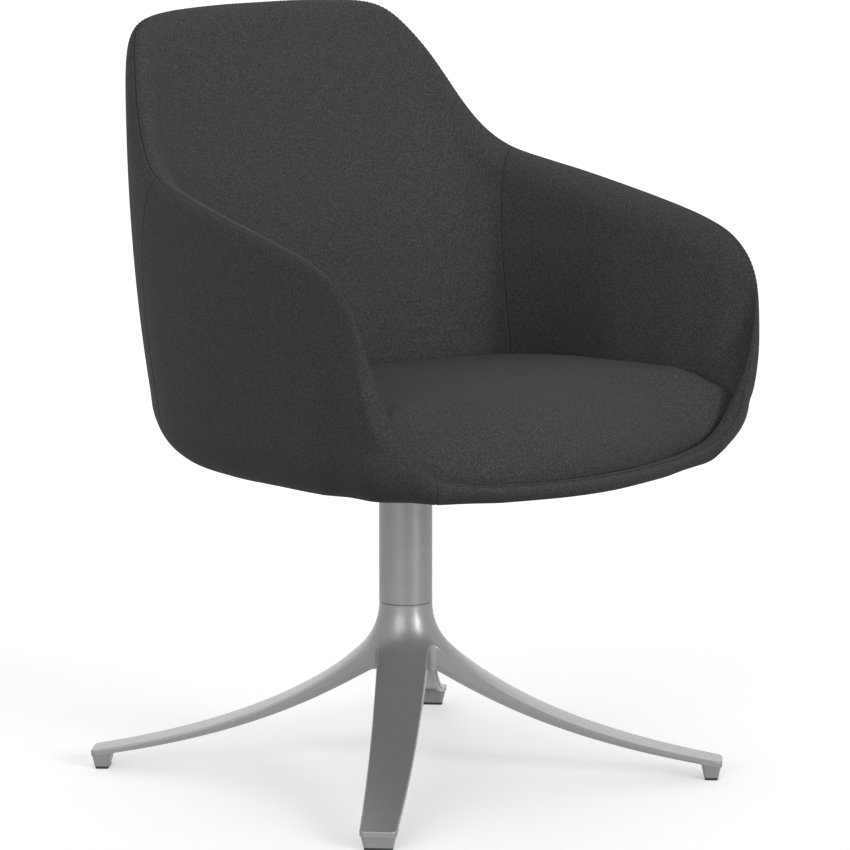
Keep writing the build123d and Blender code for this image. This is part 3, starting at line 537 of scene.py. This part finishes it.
def stitch_row(dressed, normal, to_crest, offset):
    """Places, directions and normals of stitches along one side of the rim seam."""
    row = int(np.argmin(np.abs(to_crest[0] - offset)))
    line, up = dressed[:, row], normal[:, row]
    lengths = run_lengths(line)
    count = int(lengths[-1] / STITCH_PITCH)
    spots = (np.arange(count) + 0.5) * lengths[-1] / count
    place = at_lengths(spots, lengths, line)
    lift = at_lengths(spots, lengths, up)
    along = at_lengths(spots + 1, lengths, line) - at_lengths(spots - 1, lengths, line)
    return place, along / np.linalg.norm(along, axis=1, keepdims=True), lift


def stitch_mesh(name, rows):
    """Short rounded thread beads, each six points round and five points long."""
    points, faces = [], []
    ring, stops = 6, 5
    for place, along, lift in rows:
        side = np.cross(along, lift)
        side /= np.linalg.norm(side, axis=1, keepdims=True)
        lift = np.cross(side, along)
        for p, a, b, c in zip(place, along, side, lift):
            base = len(points)
            for i in range(stops):
                t = -1 + 2 * i / (stops - 1)
                fat = math.sqrt(max(STITCH_BLUNTNESS, 1 - t * t))
                for j in range(ring):
                    turn = 2 * math.pi * j / ring
                    across = math.cos(turn) * fat * STITCH_WIDTH / 2
                    height = math.sin(turn) * fat * STITCH_HEIGHT / 2 + STITCH_LIFT
                    points.append(p + a * t * STITCH_LENGTH / 2 + b * across + c * height)
            for i in range(stops - 1):
                for j in range(ring):
                    k = (j + 1) % ring
                    faces.append((base + i * ring + j, base + i * ring + k,
                                  base + (i + 1) * ring + k, base + (i + 1) * ring + j))
            faces.append(tuple(base + j for j in range(ring - 1, -1, -1)))
            faces.append(tuple(base + (stops - 1) * ring + j for j in range(ring)))
    return make_object(name, np.array(points), faces)


for piece_name in ("tub_back", "tub_arm_left", "tub_arm_right"):
    rows = [stitch_row(*tub_grids[piece_name], side * STITCH_OFFSET) for side in (-1, 1)]
    stitches = stitch_mesh(piece_name.replace("tub_", "stitches_"), rows)
    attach(stitches, "seat")
    soft_pieces.append(stitches)


def edge_drop(front):
    """How far the edge lies under the top, for a share of the front roll."""
    full = CUSHION_TOP - CUSHION_BOTTOM - FRONT_EDGE_HEIGHT
    return EDGE_DROP + (full - EDGE_DROP) * front


def cushion_edge(points):
    """Share of the front roll and height of the top surface and of its edge at plan points."""
    front = smoothstep(*FRONT_TURNS, turn_of(points))
    back = np.clip((points[:, 1] - REAR_DROOP_FROM) / REAR_DROOP_LENGTH, 0, REAR_DROOP_MOST)
    side = np.abs(points[:, 0]) / SIDE_DROOP_WIDTH
    top = CUSHION_TOP - REAR_DROOP * back**2 - SIDE_DROOP * side**2.5 * (1 - front)
    return front, top, top - edge_drop(front)


def cushion_outline():
    """Plan line of the cushion where its edge meets the inner walls, just behind the crest over the band."""
    edge = []
    for column in SKINS[1]:
        crest = np.linalg.norm(column[0, :2] - AXIS)
        way = (column[0, :2] - AXIS) / crest
        level = cushion_edge(AXIS + way[None, :] * crest * EDGE_PROBE)[2][0]
        spot = np.argmax(column[:, 2] <= min(level, column[0, 2] - EDGE_BELOW_CREST))
        wall = np.linalg.norm(column[spot, :2] - AXIS)
        edge.append(AXIS + way * min(wall - CUSHION_GAP, crest - LIP_SETBACK))
    plan = np.array(edge)
    for _ in range(PLAN_ROUNDS):
        plan = 0.25 * np.roll(plan, 1, axis=0) + 0.5 * plan + 0.25 * np.roll(plan, -1, axis=0)
    return plan


def cushion_grid(count, rows):
    """Rings from the crowned middle over the rolled edge to the flat bottom."""
    plan = cushion_outline() - CUSHION_CENTRE
    turns = np.arctan2(plan[:, 0], plan[:, 1])
    order = np.argsort(turns)
    around = np.linspace(-math.pi, math.pi, count, endpoint=False)
    reach = np.interp(around, turns[order], np.linalg.norm(plan, axis=1)[order], period=2 * math.pi)
    outward = np.stack([np.sin(around), np.cos(around)], axis=-1)
    front = cushion_edge(CUSHION_CENTRE + outward * reach[:, None])[0]
    roll_width = EDGE_WIDTH + (FRONT_WIDTH - EDGE_WIDTH) * np.sqrt(front)
    rings = []
    for part in 1 - np.linspace(0, 1, rows) ** 0.7:
        inset = reach * part
        depth = np.clip(1 - inset / roll_width, 0, 1)
        place = CUSHION_CENTRE + outward * (reach - inset)[:, None]
        top = cushion_edge(place)[1]
        top = CUSHION_TOP - (CUSHION_TOP - top) * (1 - front)
        round_edge = 1 - np.sqrt(np.maximum(0, 1 - depth**2.2))
        corner = 4 * front * (1 - front)
        fall = edge_drop(front) * (round_edge + (depth**2 - round_edge) * corner)
        rings.append(np.column_stack([place, top - fall]))
    edge = rings[-1]
    deep = edge[:, 2] - CUSHION_BOTTOM
    for step in np.linspace(0, 1, SKIRT_ROWS)[1:]:
        inset = CUSHION_UNDERCUT * step**3 + CUSHION_TAPER * deep * step
        place = CUSHION_CENTRE + outward * (reach - inset)[:, None]
        rings.append(np.column_stack([place, edge[:, 2] - deep * step]))
    bottom = reach - CUSHION_UNDERCUT - CUSHION_TAPER * deep
    for step in np.linspace(0, 1, BOTTOM_ROWS)[1:]:
        place = CUSHION_CENTRE + outward * (bottom * (1 - step))[:, None]
        rings.append(np.column_stack([place, np.full(count, CUSHION_BOTTOM)]))
    return np.array(rings)


def cushion_mesh(name):
    """Closed cushion body with a slightly uneven top."""
    rings = cushion_grid(CUSHION_POINTS, CUSHION_ROWS)
    top = np.zeros(len(rings))
    top[2:CUSHION_ROWS - 4] = CUSHION_UNEVEN_DEPTH
    rings[:, :, 2] += uneven(rings, CUSHION_UNEVEN_SIZE, CUSHION_SEED) * top[:, None]
    levels, count = rings.shape[:2]
    points = rings[1:-1].reshape(-1, 3)
    points = np.vstack([points, rings[0].mean(axis=0), rings[-1].mean(axis=0)])
    top_point, low_point = len(points) - 2, len(points) - 1
    faces = []
    for i in range(levels - 3):
        for j in range(count):
            k = (j + 1) % count
            faces.append((i * count + j, (i + 1) * count + j, (i + 1) * count + k, i * count + k))
    last = (levels - 3) * count
    for j in range(count):
        k = (j + 1) % count
        faces.append((top_point, j, k))
        faces.append((low_point, last + k, last + j))
    return make_object(name, points, faces, np.zeros(len(points)))


cushion = cushion_mesh("cushion_cover")
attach(cushion, "seat")
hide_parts("seat_cushion")
soft_pieces.append(cushion)


class Nodes:
    """Short way to build a node material."""

    def __init__(self, name):
        self.material = bpy.data.materials.new(name)
        self.material.use_nodes = True
        self.tree = self.material.node_tree
        self.shader = self.tree.nodes["Principled BSDF"]
        self.coords = self.tree.nodes.new("ShaderNodeTexCoord").outputs["Object"]

    def add(self, kind, links=(), **values):
        """New node with its settings, its sockets linked or set."""
        node = self.tree.nodes.new(kind)
        for key, value in values.items():
            setattr(node, key, value)
        for socket, source in links:
            self.put(node, socket, source)
        return node

    def put(self, node, socket, source):
        """Links a socket to a source, or sets its value."""
        if isinstance(source, bpy.types.NodeSocket):
            self.tree.links.new(source, node.inputs[socket])
        else:
            node.inputs[socket].default_value = source

    def noise(self, scale, detail=2.0, rough=0.5, stretch=None):
        """Noise in object space, stretched if asked."""
        coords = self.coords
        if stretch:
            coords = self.add("ShaderNodeMapping", [("Vector", coords), ("Scale", stretch)]).outputs[0]
        return self.add("ShaderNodeTexNoise", [("Vector", coords), ("Scale", scale), ("Detail", detail),
                                               ("Roughness", rough)]).outputs["Fac"]

    def ramp(self, factor, stops):
        """Colours along a factor."""
        node = self.add("ShaderNodeValToRGB", [("Fac", factor)])
        points = node.color_ramp.elements
        while len(points) < len(stops):
            points.new(0.5)
        for point, (place, colour) in zip(points, stops):
            point.position = place
            point.color = (*colour, 1)
        return node.outputs["Color"]

    def mix(self, factor, first, second):
        """Blend of two colours."""
        node = self.add("ShaderNodeMix", data_type="RGBA")
        for socket, source in ((0, factor), (6, first), (7, second)):
            if isinstance(source, tuple):
                source = (*source, 1)
            self.put(node, socket, source)
        return node.outputs[2]

    def range(self, factor, low, high):
        """Middle stretch of a factor, brought to a range."""
        return self.add("ShaderNodeMapRange", [("Value", factor), ("From Min", 0.3), ("From Max", 0.7),
                                               ("To Min", low), ("To Max", high)]).outputs["Result"]

    def bump(self, height, strength, distance, below=None):
        """Normal from a height, over another normal if given."""
        links = [("Height", height), ("Strength", strength), ("Distance", distance)]
        if below is not None:
            links.append(("Normal", below))
        return self.add("ShaderNodeBump", links).outputs["Normal"]

    def surface(self, **sockets):
        """Links or sets the shader's sockets and returns the material."""
        for name, source in sockets.items():
            self.put(self.shader, name.replace("_", " "), source)
        return self.material


def felt():
    """Charcoal wool felt: bluish and brownish fibres, short nap, painted shade darkening the seam grooves.
    """
    n = Nodes("charcoal_felt")
    fibres = n.noise(640, 3, 0.7)
    fibre = n.ramp(fibres, [(0.36, (0.016, 0.0165, 0.018)), (0.50, (0.046, 0.046, 0.0435)),
                            (0.64, (0.100, 0.099, 0.090))])
    tint = n.ramp(n.noise(260, 3, 0.65), [(0.40, (0.043, 0.046, 0.050)), (0.60, (0.052, 0.0485, 0.040))])
    cloth = n.mix(0.4, fibre, tint)
    # Painted shade: the felt is darkened along the seam grooves by the seam mark
    seam = n.add("ShaderNodeAttribute", attribute_name="seam").outputs["Fac"]
    depth = n.add("ShaderNodeMath", [(0, seam), (1, 0.75)], operation="MULTIPLY").outputs[0]
    cloth = n.mix(depth, cloth, (0.010, 0.010, 0.010))
    nap = n.bump(fibres, 0.55, 0.0008)
    nap = n.bump(n.noise(200, 2, 0.6), 0.25, 0.0014, nap)
    return n.surface(Base_Color=cloth, Roughness=0.92, Normal=nap, Sheen_Weight=0.03, Sheen_Roughness=0.45,
                     Sheen_Tint=(0.8, 0.8, 0.78, 1), Specular_IOR_Level=0.2)


def thread():
    """Dark twisted thread."""
    n = Nodes("dark_thread")
    colour = n.ramp(n.noise(1500, 2), [(0.35, (0.009, 0.009, 0.009)), (0.65, (0.020, 0.020, 0.019))])
    twist = n.bump(n.noise(2400, 1), 0.5, 0.0003)
    return n.surface(Base_Color=colour, Roughness=0.7, Normal=twist)


def metal(name, low, high, rough_low, rough_high, grain, strength, metallic=1.0):
    """Satin metal with a fine mottle in colour and gloss."""
    n = Nodes(name)
    colour = n.ramp(n.noise(55, 3, 0.6), [(0.3, low), (0.7, high)])
    rough = n.range(n.noise(grain, 3, 0.6), rough_low, rough_high)
    skin = n.bump(n.noise(grain * 2.0, 2, 0.6), strength, 0.0002)
    return n.surface(Base_Color=colour, Metallic=metallic, Roughness=rough, Normal=skin)


def plastic(name, low, high, rough, strength):
    """Moulded plastic or powder coat with a fine grain."""
    n = Nodes(name)
    colour = n.ramp(n.noise(300, 3, 0.6), [(0.35, low), (0.65, high)])
    skin = n.bump(n.noise(900, 2, 0.6), strength, 0.0003)
    gloss = n.range(n.noise(120, 2), rough - 0.06, rough + 0.06)
    return n.surface(Base_Color=colour, Roughness=gloss, Normal=skin)


def plywood():
    """Raw plywood with long grain."""
    n = Nodes("raw_plywood")
    grain = n.noise(14, 4, 0.6, stretch=(1.0, 9.0, 1.0))
    colour = n.ramp(grain, [(0.3, (0.42, 0.28, 0.16)), (0.55, (0.58, 0.43, 0.27)),
                            (0.75, (0.66, 0.50, 0.33))])
    skin = n.bump(n.noise(60, 3, 0.6, stretch=(1.0, 12.0, 1.0)), 0.2, 0.0005)
    return n.surface(Base_Color=colour, Roughness=0.7, Normal=skin)


FELT = felt()
THREAD = thread()
SLOT_LOOKS = {
    "cast_aluminium": metal("cast_aluminium_satin", (0.285, 0.287, 0.295), (0.305, 0.307, 0.315), 0.31, 0.35,
                            120, 0.004, 0.40),
    "column_metal": metal("column_satin", (0.25, 0.252, 0.26), (0.27, 0.272, 0.28), 0.36, 0.40,
                          120, 0.004, 0.7),
    "glide_black": plastic("black_glide", (0.012, 0.012, 0.012), (0.024, 0.024, 0.024), 0.55, 0.2),
    "zinc_steel": metal("zinc_plate", (0.48, 0.49, 0.50), (0.58, 0.58, 0.57), 0.32, 0.46, 400, 0.12),
    "bright_steel": metal("turned_steel", (0.50, 0.50, 0.50), (0.56, 0.56, 0.56), 0.18, 0.28, 500, 0.05),
    "acetal": plastic("white_acetal", (0.70, 0.70, 0.67), (0.76, 0.76, 0.73), 0.4, 0.1),
    "plate_black": plastic("black_powder", (0.016, 0.016, 0.017), (0.030, 0.030, 0.031), 0.5, 0.5),
    "plywood": plywood(),
    "grey_fabric": FELT,
}


def dress(obj, material):
    """Gives an object one material."""
    obj.data.materials.clear()
    obj.data.materials.append(material)


def shown_rays(tree):
    """Socket that is 1 for rays of the camera and of gloss, and 0 for light on the object."""
    rays = tree.nodes.new("ShaderNodeLightPath")
    either = tree.nodes.new("ShaderNodeMath")
    either.operation = "MAXIMUM"
    tree.links.new(rays.outputs["Is Camera Ray"], either.inputs[0])
    tree.links.new(rays.outputs["Is Glossy Ray"], either.inputs[1])
    return either.outputs[0]


for row in frame["record"]["subparts"]:
    dress(frame["nodes"][row["node"]], SLOT_LOOKS[row["material_slot"]])
for piece in soft_pieces:
    dress(piece, THREAD if piece.name.startswith("stitches") else FELT)

# Pale floor, which keeps the shadow
bpy.ops.mesh.primitive_plane_add(size=FLOOR_SIZE, location=(0, 0, 0))
floor = bpy.context.object
floor.name = "studio_floor"
white = Nodes("studio_floor_white")
pale = white.ramp(white.noise(3, 2), [(0.3, (0.93, 0.93, 0.93)), (0.7, (0.95, 0.95, 0.95))])
shown = shown_rays(white.tree)
glow = white.add("ShaderNodeMath", [(0, shown), (1, FLOOR_GLOW)], operation="MULTIPLY").outputs[0]
dress(floor, white.surface(Base_Color=white.mix(shown, FLOOR_BOUNCE, pale), Roughness=0.9,
                           Specular_IOR_Level=0.0, Emission_Color=(1, 1, 1, 1), Emission_Strength=glow))

# World: white to the camera and to gloss, plain soft light on the object
world = bpy.data.worlds.new("studio")
world.use_nodes = True
bpy.context.scene.world = world
tree = world.node_tree
back = tree.nodes["Background"]
level = tree.nodes.new("ShaderNodeMapRange")
level.inputs["To Min"].default_value = WORLD_LIGHT
level.inputs["To Max"].default_value = WORLD_SHOWN
tree.links.new(shown_rays(tree), level.inputs["Value"])
tree.links.new(level.outputs["Result"], back.inputs["Strength"])
back.inputs["Color"].default_value = (1, 1, 1, 1)


def sun(name, azimuth, elevation, strength, width):
    """Soft far lamp that shines from an azimuth, measured as for the views, and an elevation."""
    lamp = bpy.data.lights.new(name, "SUN")
    lamp.energy = strength
    lamp.angle = math.radians(width)
    obj = bpy.data.objects.new(name, lamp)
    a, e = math.radians(azimuth), math.radians(elevation)
    toward = Vector((math.sin(a) * math.cos(e), -math.cos(a) * math.cos(e), math.sin(e)))
    obj.rotation_mode = "QUATERNION"
    obj.rotation_quaternion = toward.to_track_quat("Z", "Y")
    bpy.context.scene.collection.objects.link(obj)


sun("key", azimuth=8, elevation=20, strength=0.9, width=20)
sun("low", azimuth=4, elevation=6, strength=0.45, width=10)
sun("front", azimuth=-66, elevation=18, strength=0.9, width=40)
sun("rear", azimuth=150, elevation=20, strength=0.35, width=60)

# Camera
camera_data = bpy.data.cameras.new("camera")
camera_data.sensor_width = SENSOR_WIDTH
camera_data.lens = LENS
camera = bpy.data.objects.new("camera", camera_data)
away = Vector((math.sin(CAMERA_AZIMUTH) * math.cos(CAMERA_ELEVATION),
               -math.cos(CAMERA_AZIMUTH) * math.cos(CAMERA_ELEVATION), math.sin(CAMERA_ELEVATION)))
right = Vector((math.cos(CAMERA_AZIMUTH), math.sin(CAMERA_AZIMUTH), 0))
aim = CAMERA_TARGET + AIM_RIGHT * right + AIM_UP * away.cross(right)
camera.location = CAMERA_TARGET + CAMERA_DISTANCE * away
camera.rotation_mode = "QUATERNION"
camera.rotation_quaternion = (camera.location - aim).to_track_quat("Z", "Y")
bpy.context.scene.collection.objects.link(camera)
bpy.context.scene.camera = camera
bpy.context.scene.view_settings.view_transform = "Standard"
